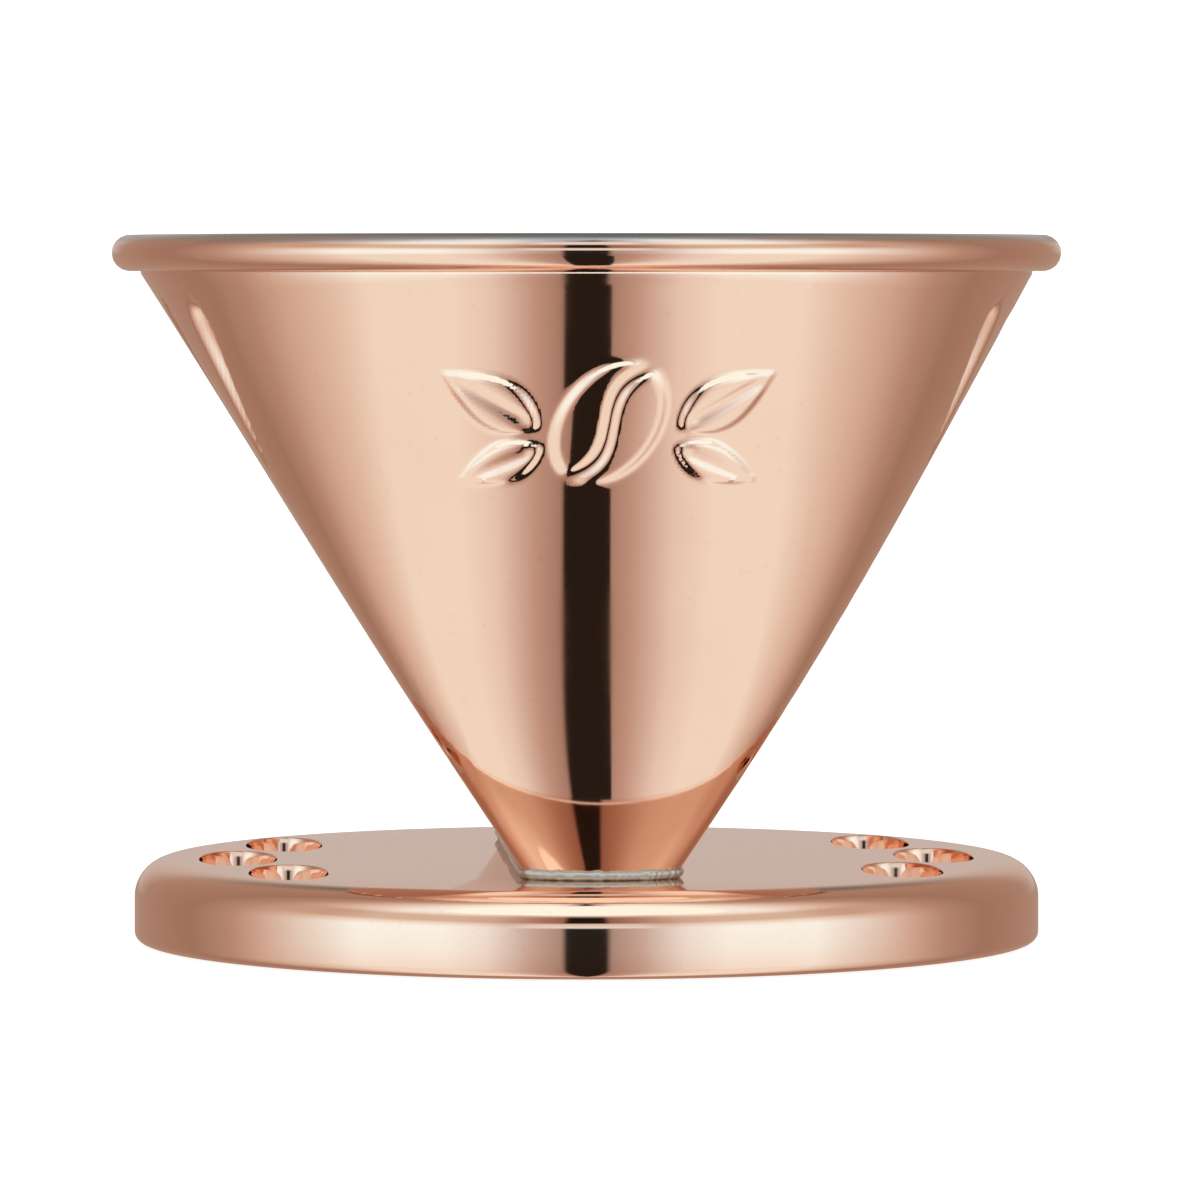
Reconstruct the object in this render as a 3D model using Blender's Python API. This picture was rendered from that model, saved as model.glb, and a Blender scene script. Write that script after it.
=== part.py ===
"""Pour-over dripper of sheet copper for trapezoid paper filters.

The funnel is round at its rim and slot-shaped at its floor. Its neck passes through a slot in a round
pressed base and is soldered there. A strip handle is soldered to the back. The object stands on z = 0,
with the slot along Y, the handle towards +Y and the centre of its bounding box over the origin.
"""

from math import asin, cos, pi, radians, sin, sqrt

import bmesh
import bpy
from mathutils import Vector
from mathutils.geometry import interpolate_bezier

MM = 0.001

# Driving dimensions
SHEET = 1.0 * MM
GAP = 0.3 * MM
COLUMNS = 60

BASE_RADIUS = 57.3 * MM
BASE_HEIGHT = 10.3 * MM
BASE_EDGE_RADIUS = 4.7 * MM
BASE_FOOT_RADIUS = 1.2 * MM
BASE_FOOT_WIDTH = 4.5 * MM

RIM_RADIUS = 60.0 * MM
RIM_TOP = 89.2 * MM
BEAD_RADIUS = 2.3 * MM
BEAD_END_ANGLE = radians(-105)

FLOOR_BOTTOM = 5.5 * MM
FLOOR_HALF_WIDTH = 6.0 * MM
FLOOR_HALF_LENGTH = 36.0 * MM
FLOOR_ROUNDING = 0.5
FLOOR_CORNER = 2.5 * MM
WALL_TOP_RADIUS = 56.5 * MM
WALL_SWELL = 0.6 * MM
SIDE_SOFTNESS = radians(10)

DRIP_HOLE_RADIUS = 1.9 * MM
DRIP_HOLE_SPACING = 16.0 * MM

RIB_TOP = 80.8 * MM
RIB_BOTTOM = 56.5 * MM
RIB_TOP_OFFSETS = (0.0, 12.0 * MM, 23.5 * MM)
RIB_BOTTOM_OFFSETS = (0.0, 13.5 * MM, 26.5 * MM)
RIB_GROOVE_HALF_WIDTH = 1.4 * MM
RIB_RIDGE_HALF_WIDTH = 2.1 * MM
RIB_DEPTH = 0.9 * MM

SIGHT_HOLE_WIDTH = 8.2 * MM
SIGHT_HOLE_LENGTH = 21.6 * MM
SIGHT_HOLE_SQUARENESS = 2.3
SIGHT_HOLE_MIDDLE = Vector((44.2, 0.0)) * MM
SIGHT_HOLE_OUTER = Vector((38.1, 22.5)) * MM
SIGHT_LIP_THICKNESS = 0.6 * MM
SIGHT_LIP_DEPTH = 1.2 * MM

SOLDER_RADIUS = 0.45 * MM

HANDLE_REACH = 88.0 * MM
HANDLE_WIDTH = 13.0 * MM
HANDLE_THICKNESS = 2.0 * MM
HANDLE_STANDOFF = 1.2 * MM
HANDLE_TOP_FOOT = (53.0 * MM, 65.0 * MM)
HANDLE_BOTTOM_FOOT = (19.5 * MM, 30.0 * MM)
HANDLE_OUTER_HEIGHT = 56.0 * MM
HANDLE_CUP_FADE = 6.0 * MM
HANDLE_SOLDER_THICKNESS = 0.6 * MM
HANDLE_SOLDER_MARGIN = 1.5 * MM

# Derived places
WALL_TOP = RIM_TOP - 2 * BEAD_RADIUS
BEAD_CENTRE_RADIUS = RIM_RADIUS - BEAD_RADIUS
BEAD_CENTRE_HEIGHT = RIM_TOP - BEAD_RADIUS
AXIS_Y = (RIM_RADIUS - HANDLE_REACH) / 2
ANGLES = [2 * pi * i / COLUMNS for i in range(COLUMNS)]


def make_material(name, colour, metallic, roughness):
    """Principled material in one plain colour."""
    material = bpy.data.materials.new(name)
    material.use_nodes = True
    shader = material.node_tree.nodes["Principled BSDF"]
    shader.inputs["Base Color"].default_value = (*colour, 1.0)
    shader.inputs["Metallic"].default_value = metallic
    shader.inputs["Roughness"].default_value = roughness
    material.diffuse_color = (*colour, 1.0)
    return material


def add_object(name, mesh_edit, material=None):
    """Turn a finished bmesh into an object over the funnel's axis."""
    bmesh.ops.recalc_face_normals(mesh_edit, faces=mesh_edit.faces[:])
    mesh = bpy.data.meshes.new(name)
    mesh_edit.to_mesh(mesh)
    mesh_edit.free()
    mesh.shade_smooth()
    mesh.set_sharp_from_angle(angle=radians(35))
    if material:
        mesh.materials.append(material)
    obj = bpy.data.objects.new(name, mesh)
    obj.location.y = AXIS_Y
    bpy.context.scene.collection.objects.link(obj)
    return obj


def add_cutter(name, mesh_edit):
    """An object that only shapes another one."""
    cutter = add_object(name, mesh_edit)
    cutter.hide_render = True
    cutter.display_type = "WIRE"
    return cutter


def add_boolean(obj, cutter, operation):
    modifier = obj.modifiers.new(cutter.name, "BOOLEAN")
    modifier.operation = operation
    modifier.solver = "EXACT"
    modifier.object = cutter


def bridge_rings(mesh_edit, rings, capped):
    """Join rings of equally many points. The ends are capped, or the last ring meets the first."""
    loops = [[mesh_edit.verts.new(point) for point in ring] for ring in rings]
    pairs = list(zip(loops, loops[1:]))
    if not capped:
        pairs.append((loops[-1], loops[0]))
    for near, far in pairs:
        for i in range(len(near)):
            j = (i + 1) % len(near)
            mesh_edit.faces.new((near[i], near[j], far[j], far[i]))
    if capped:
        mesh_edit.faces.new(reversed(loops[0]))
        mesh_edit.faces.new(loops[-1])


def circle(radius, height):
    return [Vector((radius * cos(a), radius * sin(a), height)) for a in ANGLES]


def wall_share(height):
    """How far up the funnel's wall a height lies, from 0 at the floor to 1 at the rim."""
    return (height - FLOOR_BOTTOM) / (WALL_TOP - FLOOR_BOTTOM)


def wall_section(height):
    """Funnel's outer section at a height: half width, depth of its curved ends, half straight length.

    The end walls keep the rim's curvature all the way down, and only their corners get tighter.
    """
    share = wall_share(height)
    swell = WALL_SWELL * sin(pi * max(share, 0.0) ** 0.8) ** 2
    half_width = FLOOR_HALF_WIDTH + (WALL_TOP_RADIUS - FLOOR_HALF_WIDTH) * share + swell
    half_length = FLOOR_HALF_LENGTH + (WALL_TOP_RADIUS - FLOOR_HALF_LENGTH) * share + swell
    rounding = FLOOR_ROUNDING * max(0.0, 1 - share) ** 8
    depth = half_width * min(1.0, half_width / WALL_TOP_RADIUS + rounding)
    return half_width, depth, half_length - depth


def end_curvature(height):
    """Curvature of the middle of the end walls at a height."""
    half_width, depth, _ = wall_section(height)
    return depth / half_width**2


def wall_point(angle, height, offset=0.0):
    """Point of the funnel's outer surface, moved outwards by a horizontal offset."""
    half_width, depth, straight = wall_section(height)
    turn = asin(sin(angle))
    end = sin(pi / 2 * max(-1.0, min(1.0, turn / SIDE_SOFTNESS)))
    x = (half_width + offset) * cos(angle)
    return Vector((x, (depth + offset) * sin(angle) + straight * end, height))


def sheet_offset(angle):
    """Horizontal distance between the two faces of the wall, which leans outwards."""
    floor = FLOOR_HALF_WIDTH + (FLOOR_HALF_LENGTH - FLOOR_HALF_WIDTH) * abs(sin(angle))
    run = WALL_TOP_RADIUS - floor
    lean = run / (WALL_TOP - FLOOR_BOTTOM)
    return SHEET * sqrt(1 + lean * lean)


def wall_ring(height, offset=0.0):
    return [wall_point(a, height, offset) for a in ANGLES]


def lining_ring(height):
    return [wall_point(a, height, -sheet_offset(a)) for a in ANGLES]


def corner_rings(upper, corner, lower, steps):
    """Rings of a round corner that is tangent to the wall above it and the floor beside it."""
    rings = []
    for step in range(1, steps + 1):
        share = step / steps
        ring = []
        for a, b, c in zip(upper, corner, lower):
            ring.append(a.lerp(b, share).lerp(b.lerp(c, share), share))
        rings.append(ring)
    return rings


def bead_ring(radius, angle):
    """Ring of the rolled rim. The angle is 0 outwards and 90 degrees upwards."""
    return circle(BEAD_CENTRE_RADIUS + radius * cos(angle), BEAD_CENTRE_HEIGHT + radius * sin(angle))


def funnel_rings():
    """Rings from the lining's floor, up the inside, round the bead and down the outside."""
    wall_heights = [FLOOR_BOTTOM + (WALL_TOP - FLOOR_BOTTOM) * share for share in (0.16, 0.36, 0.58, 0.8)]
    bead_angles = [pi + (BEAD_END_ANGLE - pi) * step / 10 for step in range(11)]
    lining_floor = FLOOR_BOTTOM + SHEET
    lining_corner = FLOOR_CORNER - SHEET
    lining = corner_rings(
        lining_ring(lining_floor + lining_corner),
        lining_ring(lining_floor),
        [wall_point(a, lining_floor, -sheet_offset(a) - lining_corner) for a in ANGLES],
        2,
    )
    outside = corner_rings(
        wall_ring(FLOOR_BOTTOM + FLOOR_CORNER),
        wall_ring(FLOOR_BOTTOM),
        wall_ring(FLOOR_BOTTOM, -FLOOR_CORNER),
        2,
    )
    rings = lining[::-1]
    rings.append(lining_ring(lining_floor + lining_corner))
    rings += [lining_ring(height) for height in wall_heights]
    rings.append(circle(RIM_RADIUS - 2 * BEAD_RADIUS, WALL_TOP))
    rings += [bead_ring(BEAD_RADIUS, angle) for angle in bead_angles]
    rings += [bead_ring(BEAD_RADIUS - SHEET, angle) for angle in bead_angles[::-1]]
    rings.append(circle(RIM_RADIUS - 2 * BEAD_RADIUS + SHEET, WALL_TOP))
    rings += [wall_ring(height) for height in wall_heights[::-1]]
    rings.append(wall_ring(FLOOR_BOTTOM + FLOOR_CORNER))
    rings += outside
    return rings


def wall_frame(offset, height, side):
    """Point of the outer wall at a distance along Y from the side's centre line, and its normal there."""

    def surface(y, z):
        half_width, depth, straight = wall_section(z)
        beyond = max(0.0, abs(y) - straight) / depth
        return Vector((side * half_width * sqrt(1 - beyond * beyond), y, z))

    point = surface(offset, height)
    along = surface(offset + 0.1 * MM, height) - point
    up = surface(offset, height + 0.1 * MM) - point
    normal = along.cross(up).normalized()
    return point, normal * side


def add_rib_body(mesh_edit, side, top_offset, bottom_offset, half_width, outer_depth, inner_depth):
    """Teardrop pressed into the wall: round at the top, drawn out to a point at the bottom.

    Its section is flat at outer_depth and round towards inner_depth, both measured inwards.
    """
    stations = (0.0, 0.02, 0.06, 0.14, 0.4, 0.7, 0.95)
    rings = []
    for share in stations:
        height = RIB_TOP + (RIB_BOTTOM - RIB_TOP) * share
        offset = top_offset + (bottom_offset - top_offset) * share
        point, normal = wall_frame(offset, height, side)
        cap = sqrt(max(0.0, 1 - ((0.06 - share) / 0.06) ** 2)) if share < 0.06 else 1.0
        scale = max(0.15, cap * (1 - max(0.0, share - 0.06)))
        across = Vector((0.0, 1.0, 0.0))
        ring = [point + across * half_width * scale * x - normal * outer_depth for x in (-1.0, 1.0)]
        for turn in (20, 60, 90, 120, 160):
            depth = (inner_depth - max(outer_depth, 0.0)) * scale * sin(radians(turn)) + max(outer_depth, 0.0)
            ring.append(point + across * half_width * scale * cos(radians(turn)) - normal * depth)
        rings.append(ring)
    bridge_rings(mesh_edit, rings, capped=True)


def add_rib_cutter(name, half_width, outer_depth, inner_depth):
    """All the ribs of both sides: five on each, fanned about the side's centre line."""
    mesh_edit = bmesh.new()
    for side in (-1, 1):
        for top_offset, bottom_offset in zip(RIB_TOP_OFFSETS, RIB_BOTTOM_OFFSETS):
            for sign in (-1, 1) if top_offset else (1,):
                offsets = (sign * top_offset, sign * bottom_offset)
                add_rib_body(mesh_edit, side, *offsets, half_width, outer_depth, inner_depth)
    return add_cutter(name, mesh_edit)


def make_funnel(material):
    mesh_edit = bmesh.new()
    bridge_rings(mesh_edit, funnel_rings(), capped=True)
    funnel = add_object("funnel_body", mesh_edit, material)

    ridges = add_rib_cutter("rib_ridges", RIB_RIDGE_HALF_WIDTH, SHEET * 0.4, SHEET + RIB_DEPTH)
    add_boolean(funnel, ridges, "UNION")
    grooves = add_rib_cutter("rib_grooves", RIB_GROOVE_HALF_WIDTH, -SHEET, RIB_DEPTH)
    add_boolean(funnel, grooves, "DIFFERENCE")

    mesh_edit = bmesh.new()
    for row in (-1, 0, 1):
        rings = []
        for height in (FLOOR_BOTTOM - SHEET, FLOOR_BOTTOM + 3 * SHEET):
            rings.append([
                Vector((0.0, row * DRIP_HOLE_SPACING, height))
                + DRIP_HOLE_RADIUS * Vector((cos(a), sin(a), 0.0))
                for a in ANGLES[::4]
            ])
        bridge_rings(mesh_edit, rings, capped=True)
    add_boolean(funnel, add_cutter("drip_holes", mesh_edit), "DIFFERENCE")


def make_rim_wire(material):
    """Wire inside the rolled rim, clear of the sheet all round."""
    wire_radius = BEAD_RADIUS - SHEET - GAP
    mesh_edit = bmesh.new()
    rings = [bead_ring(wire_radius, 2 * pi * step / 8) for step in range(8)]
    bridge_rings(mesh_edit, rings, capped=False)
    add_object("rim_wire", mesh_edit, material)


def base_rings():
    """Rings of the pressed disc, from its top face round the foot flange to its underside."""
    flat_radius = BASE_RADIUS - BASE_EDGE_RADIUS
    edge_height = BASE_HEIGHT - BASE_EDGE_RADIUS
    inner_edge = BASE_EDGE_RADIUS - SHEET
    foot_centre = BASE_RADIUS - BASE_FOOT_RADIUS
    edge_turns = [radians(90 - 22.5 * step) for step in range(5)]
    rings = []
    for a in edge_turns:
        rings.append(circle(flat_radius + BASE_EDGE_RADIUS * cos(a), edge_height + BASE_EDGE_RADIUS * sin(a)))
    for turn in (0, -45, -90):
        a = radians(turn)
        rings.append(circle(foot_centre + BASE_FOOT_RADIUS * cos(a), BASE_FOOT_RADIUS + BASE_FOOT_RADIUS * sin(a)))
    rings.append(circle(BASE_RADIUS - BASE_FOOT_WIDTH, 0.0))
    rings.append(circle(BASE_RADIUS - BASE_FOOT_WIDTH, SHEET))
    rings.append(circle(foot_centre, SHEET))
    rings.append(circle(BASE_RADIUS - SHEET, BASE_FOOT_RADIUS))
    for a in edge_turns[::-1]:
        rings.append(circle(flat_radius + inner_edge * cos(a), edge_height + inner_edge * sin(a)))
    return rings


def signed_power(value, exponent):
    return abs(value) ** exponent * (1 if value > 0 else -1)


def add_oval(mesh_edit, centre, margin, low, high):
    """Upright prism on a superellipse, long along Y: an oval with slightly squared ends."""
    half_width = SIGHT_HOLE_WIDTH / 2 + margin
    half_length = SIGHT_HOLE_LENGTH / 2 + margin
    exponent = 2 / SIGHT_HOLE_SQUARENESS
    rings = []
    for height in (low, high):
        ring = []
        for a in ANGLES[::3]:
            x = half_width * signed_power(cos(a), exponent)
            y = half_length * signed_power(sin(a), exponent)
            ring.append(Vector((centre.x + x, centre.y + y, height)))
        rings.append(ring)
    bridge_rings(mesh_edit, rings, capped=True)


def sight_hole_centres():
    centres = []
    for side in (-1, 1):
        centres.append(Vector((side * SIGHT_HOLE_MIDDLE.x, SIGHT_HOLE_MIDDLE.y)))
        for end in (-1, 1):
            centres.append(Vector((side * SIGHT_HOLE_OUTER.x, end * SIGHT_HOLE_OUTER.y)))
    return centres


def make_base(material):
    mesh_edit = bmesh.new()
    bridge_rings(mesh_edit, base_rings(), capped=True)
    base = add_object("base_plate", mesh_edit, material)

    underside = BASE_HEIGHT - SHEET
    for group in ("middle", "outer"):
        lips = bmesh.new()
        for centre in sight_hole_centres():
            if (centre.y == 0.0) == (group == "middle"):
                add_oval(lips, centre, SIGHT_LIP_THICKNESS, underside - SIGHT_LIP_DEPTH, BASE_HEIGHT - SHEET / 2)
        add_boolean(base, add_cutter(f"sight_lips_{group}", lips), "UNION")
    holes = bmesh.new()
    for centre in sight_hole_centres():
        add_oval(holes, centre, 0.0, underside - 2 * SIGHT_LIP_DEPTH, BASE_HEIGHT + SHEET)
    add_boolean(base, add_cutter("sight_holes", holes), "DIFFERENCE")

    slot = bmesh.new()
    slot_rings = [wall_ring(height, GAP * 1.3) for height in (underside - SHEET, BASE_HEIGHT + SHEET)]
    bridge_rings(slot, slot_rings, capped=True)
    add_boolean(base, add_cutter("neck_slot", slot), "DIFFERENCE")


def make_neck_solder(name, height, material):
    """Bead of solder all round the neck, clear of the wall and of the base."""
    mesh_edit = bmesh.new()
    rings = []
    for step in range(6):
        turn = 2 * pi * step / 6
        offset = 1.3 * GAP + SOLDER_RADIUS + SOLDER_RADIUS * cos(turn)
        rings.append(wall_ring(height + SOLDER_RADIUS * sin(turn), offset))
    bridge_rings(mesh_edit, rings, capped=False)
    add_object(name, mesh_edit, material)


def back_wall(height, offset):
    """Point in the plane x = 0 on the back of the funnel, moved outwards along the wall's normal."""
    point = wall_point(pi / 2, height)
    along = wall_point(pi / 2, height + MM) - wall_point(pi / 2, height - MM)
    normal = Vector((0.0, along.z, -along.y)).normalized()
    return point + normal * offset


def handle_path():
    """Centre line of the strip with its cupping, from the top foot round to the bottom foot."""
    offset = HANDLE_STANDOFF + HANDLE_THICKNESS / 2
    top_low, top_high = [back_wall(height, offset) for height in HANDLE_TOP_FOOT]
    bottom_low, bottom_high = [back_wall(height, offset) for height in HANDLE_BOTTOM_FOOT]
    outermost = Vector((0.0, HANDLE_REACH - HANDLE_THICKNESS / 2, HANDLE_OUTER_HEIGHT))
    wall_up = (top_high - top_low).normalized()
    up = Vector((0.0, 0.0, 1.0))
    upper = interpolate_bezier(top_high, top_high + wall_up * 12 * MM, outermost + up * 17 * MM, outermost, 13)
    lower = interpolate_bezier(outermost, outermost - up * 19 * MM, bottom_high + wall_up * 13 * MM, bottom_high, 11)
    points = [top_low] + [top_low.lerp(top_high, 0.5)] + upper + lower[1:]
    points += [bottom_high.lerp(bottom_low, 0.5), bottom_low]
    cupping = []
    for i, point in enumerate(points):
        clearance = (point - back_wall(point.z, offset)).length
        fit = max(0.0, 1 - clearance / HANDLE_CUP_FADE)
        climbs = 1 if i < len(upper) else -1
        cupping.append(climbs * fit * end_curvature(point.z))
    return points, cupping


def sweep_strip(points, cupping, width, thickness):
    """Strip of rectangular section along a path in the plane x = 0, cupped to fit a round wall.

    The cupping is one over the wall's radius: positive where the path climbs, negative where it descends.
    """
    mesh_edit = bmesh.new()
    rings = []
    for i, (point, cup) in enumerate(zip(points, cupping)):
        tangent = (points[min(i + 1, len(points) - 1)] - points[max(i - 1, 0)]).normalized()
        normal = Vector((0.0, tangent.z, -tangent.y))
        ring = []
        for face in (-1, 1):
            for across in (-0.5, -0.25, 0.0, 0.25, 0.5):
                x = -face * across * width
                sag = cup * x * x / 2
                ring.append(point + Vector((x, 0.0, 0.0)) + normal * (face * thickness / 2 - sag))
        rings.append(ring)
    bridge_rings(mesh_edit, rings, capped=True)
    return mesh_edit


def make_handle(material):
    points, cupping = handle_path()
    add_object("handle", sweep_strip(points, cupping, HANDLE_WIDTH, HANDLE_THICKNESS), material)


def make_handle_solder(name, foot, material):
    """Layer of solder between a foot of the handle and the wall, clear of both."""
    low, high = foot
    heights = [low - HANDLE_SOLDER_MARGIN, (low + high) / 2, high + HANDLE_SOLDER_MARGIN]
    points = [back_wall(height, HANDLE_STANDOFF / 2) for height in heights]
    cupping = [end_curvature(height) for height in heights]
    width = HANDLE_WIDTH + 2 * HANDLE_SOLDER_MARGIN
    add_object(name, sweep_strip(points, cupping, width, HANDLE_SOLDER_THICKNESS), material)


def main():
    for obj in list(bpy.data.objects):
        bpy.data.objects.remove(obj)
    copper = make_material("polished_copper", (0.93, 0.58, 0.42), 1.0, 0.1)
    solder = make_material("tin_solder", (0.6, 0.6, 0.57), 1.0, 0.35)
    steel = make_material("wire_steel", (0.5, 0.5, 0.5), 1.0, 0.4)

    make_funnel(copper)
    make_rim_wire(steel)
    make_base(copper)
    solder_rise = GAP + SOLDER_RADIUS
    make_neck_solder("neck_solder_top", BASE_HEIGHT + solder_rise, solder)
    make_neck_solder("neck_solder_under", BASE_HEIGHT - SHEET - solder_rise, solder)
    make_handle(copper)
    make_handle_solder("handle_solder_top", HANDLE_TOP_FOOT, solder)
    make_handle_solder("handle_solder_bottom", HANDLE_BOTTOM_FOOT, solder)


main()
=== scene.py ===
"""Pour-over dripper of polished copper: its finished surfaces and its studio, around the fixed frame."""

from math import asin, copysign, cos, pi, radians, sin, sqrt, tan

import bpy
import numpy as np
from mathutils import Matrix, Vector, noise
from mathutils.geometry import interpolate_bezier


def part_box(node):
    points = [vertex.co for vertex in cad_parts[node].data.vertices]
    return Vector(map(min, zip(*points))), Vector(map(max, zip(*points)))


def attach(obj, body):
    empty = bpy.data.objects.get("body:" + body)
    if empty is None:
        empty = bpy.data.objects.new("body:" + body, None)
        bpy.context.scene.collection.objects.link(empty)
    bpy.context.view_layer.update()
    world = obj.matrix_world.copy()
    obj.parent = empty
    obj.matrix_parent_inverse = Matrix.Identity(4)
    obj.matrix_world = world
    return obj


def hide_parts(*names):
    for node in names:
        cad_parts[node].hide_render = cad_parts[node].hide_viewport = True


bl_info = {
    "name": "Copper Pour-Over Dripper",
    "version": (1, 0, 0),
    "blender": (4, 5, 0),
    "location": "3D View > Sidebar > Dripper",
    "description": "Builds the sheet-metal surfaces, solder and studio of a copper coffee dripper",
    "category": "Add Mesh",
}

MM = 0.001
MERGE_DISTANCE = 0.002 * MM

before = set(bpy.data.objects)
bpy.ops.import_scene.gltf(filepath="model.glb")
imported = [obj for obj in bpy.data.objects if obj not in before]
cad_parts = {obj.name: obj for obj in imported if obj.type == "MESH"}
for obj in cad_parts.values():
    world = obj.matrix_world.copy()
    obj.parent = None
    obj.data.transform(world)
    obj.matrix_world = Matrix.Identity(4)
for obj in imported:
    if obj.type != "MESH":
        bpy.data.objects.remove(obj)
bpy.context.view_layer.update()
FUNNEL_LOW, FUNNEL_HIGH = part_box("funnel_body")
BASE_LOW, BASE_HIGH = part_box("base_plate")
HANDLE_LOW, HANDLE_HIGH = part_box("handle")
AXIS = Vector((0.0, (FUNNEL_LOW.y + FUNNEL_HIGH.y) / 2, 0.0))


def length(name, description, default):
    """A size that the user can change, in scene units."""
    return bpy.props.FloatProperty(
        name=name, description=description, default=default, unit="LENGTH", precision=5, min=0.0
    )


def count(name, description, default):
    return bpy.props.IntProperty(name=name, description=description, default=default, min=3)


def factor(name, description, default):
    return bpy.props.FloatProperty(name=name, description=description, default=default, min=0.0)


def colour(name, description, default):
    return bpy.props.FloatVectorProperty(
        name=name, description=description, default=default, size=3, subtype="COLOR", min=0.0, max=1.0
    )


def turn(name, description, default):
    return bpy.props.FloatProperty(name=name, description=description, default=default, subtype="ANGLE")


class FunnelSettings(bpy.types.PropertyGroup):
    sheet: length("Sheet", "Thickness of the copper sheet", 1.0 * MM)
    rim_radius: length(
        "Rim radius", "Outer radius of the rolled rim", (FUNNEL_HIGH.x - FUNNEL_LOW.x) / 2
    )
    rim_top: length("Rim top", "Height of the rolled rim", FUNNEL_HIGH.z)
    bead_radius: length("Bead radius", "Radius of the rolled rim's section", 2.3 * MM)
    bead_end: turn("Bead end", "Where the roll ends, from the outward direction", radians(-105))
    floor_bottom: length("Floor", "Height of the floor's outer face", FUNNEL_LOW.z)
    floor_half_width: length("Floor half width", "Half width of the slot-shaped floor", 6.0 * MM)
    floor_half_length: length("Floor half length", "Half length of the slot-shaped floor", 36.0 * MM)
    floor_rounding: factor("Floor rounding", "Extra roundness of the funnel's ends near the floor", 0.5)
    floor_corner: length("Floor corner", "Outer radius between wall and floor", 2.5 * MM)
    wall_top_radius: length("Wall top radius", "Outer radius of the wall under the rim", 56.5 * MM)
    wall_swell: length("Wall swell", "How far the wall bows outwards", 0.6 * MM)
    side_softness: turn(
        "Side softness", "Half angle over which the flat sides are gently rounded", radians(10)
    )
    columns: count("Columns", "Mesh columns round the funnel", 440)
    wall_rows: count("Wall rows", "Mesh rows up the wall", 84)
    hole_radius: length("Drip hole", "Radius of the three drip holes", 1.9 * MM)
    hole_spacing: length("Hole spacing", "Distance between the drip holes", 16.0 * MM)
    rib_top: length("Rib top", "Height of the ribs' round ends", 80.8 * MM)
    rib_bottom: length("Rib bottom", "Height of the ribs' points", 60.0 * MM)
    rib_width: length("Rib half width", "Half width of a rib at its round end", 3.1 * MM)
    rib_depth: length("Rib depth", "Depth of the pressed ribs", 1.35 * MM)
    emblem_height: length("Emblem height", "Height of the embossed sprig's centre", 66.5 * MM)
    emblem_relief: length("Emblem relief", "How far the sprig stands out", 0.55 * MM)


class BaseSettings(bpy.types.PropertyGroup):
    sheet: length("Sheet", "Thickness of the base's sheet", 1.0 * MM)
    radius: length("Radius", "Outer radius of the base", (BASE_HIGH.x - BASE_LOW.x) / 2)
    top: length("Top", "Height of the base's top face", BASE_HIGH.z)
    edge: length("Edge radius", "Radius of the rounded top edge", 4.7 * MM)
    foot: length("Foot radius", "Radius of the rounded foot", 1.2 * MM)
    flange: length("Flange", "Width of the turned-in foot flange", 4.5 * MM)
    hole_width: length("Hole width", "Clear width of a sight hole", 8.2 * MM)
    hole_length: length("Hole length", "Clear length of a sight hole", 21.6 * MM)
    hole_squareness: factor("Hole squareness", "Exponent of the sight holes' outline", 2.3)
    hole_round: length("Hole rounding", "How far a sight hole widens at its top edge", 1.0 * MM)
    hole_depth: length("Hole depth", "How far the hole's edge is turned down", 2.1 * MM)
    lip_bend: length("Lip bend", "Radius of the bend at the top of a sight hole", 0.2 * MM)
    lip_slope: turn("Lip slope", "Steepness of a sight hole's turned-down lip", radians(84))
    middle_x: length("Middle hole", "Distance of the middle holes from the axis", 44.2 * MM)
    outer_x: length("Outer holes X", "Distance of the outer holes across the slot", 38.1 * MM)
    outer_y: length("Outer holes Y", "Distance of the outer holes along the slot", 22.5 * MM)


class HandleSettings(bpy.types.PropertyGroup):
    width: length("Width", "Width of the strip", HANDLE_HIGH.x - HANDLE_LOW.x)
    thickness: length("Thickness", "Thickness of the strip", 2.0 * MM)
    reach: length("Reach", "From the funnel's axis to the outside of the loop", HANDLE_HIGH.y - AXIS.y)
    standoff: length("Standoff", "Layer of solder between the feet and the wall", 1.2 * MM)
    corner: length("Corner", "Corner radius of the feet", 3.5 * MM)


class FinishSettings(bpy.types.PropertyGroup):
    copper: colour("Copper", "Colour of the polished copper", (0.95, 0.66, 0.52))
    tarnish: colour("Tarnish", "Colour of the copper where it has darkened a little", (0.88, 0.55, 0.40))
    tin: colour("Tin", "Colour of the tin lining", (0.64, 0.66, 0.66))
    solder: colour("Solder", "Colour of the solder", (0.36, 0.39, 0.36))
    copper_roughness: factor("Copper roughness", "Roughness of the polished copper", 0.045)
    tin_roughness: factor("Tin roughness", "Roughness of the wiped tin", 0.24)


class StageSettings(bpy.types.PropertyGroup):
    camera_turn: turn("Camera turn", "Direction of the camera round the axis", radians(-3.0))
    camera_distance: length("Camera distance", "Distance of the camera from the axis", 0.950)
    camera_height: length("Camera height", "Height of the camera", 0.085)
    camera_tilt: turn("Camera tilt", "Downward tilt of the camera", radians(2.535))
    camera_pan: turn("Camera pan", "Turn of the camera to the right of the axis", radians(0.103))
    focal_length: factor("Focal length", "Lens in millimetres on a 36 mm sensor", 225.0)


def settings(context):
    scene = context.scene
    return scene.dripper_funnel, scene.dripper_base, scene.dripper_handle


# Modelling helpers

FIRST_ROW = "first row"


def clear_selection():
    if bpy.context.object and bpy.context.object.mode != "OBJECT":
        bpy.ops.object.mode_set(mode="OBJECT")
    bpy.ops.object.select_all(action="DESELECT")


def make_active(obj):
    clear_selection()
    obj.select_set(True)
    bpy.context.view_layer.objects.active = obj


def edit(obj, mode):
    """Open an object in edit mode with nothing selected, in a select mode such as EDGE."""
    make_active(obj)
    bpy.ops.object.mode_set(mode="EDIT")
    bpy.ops.mesh.select_mode(type=mode)
    bpy.ops.mesh.select_all(action="DESELECT")


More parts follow.
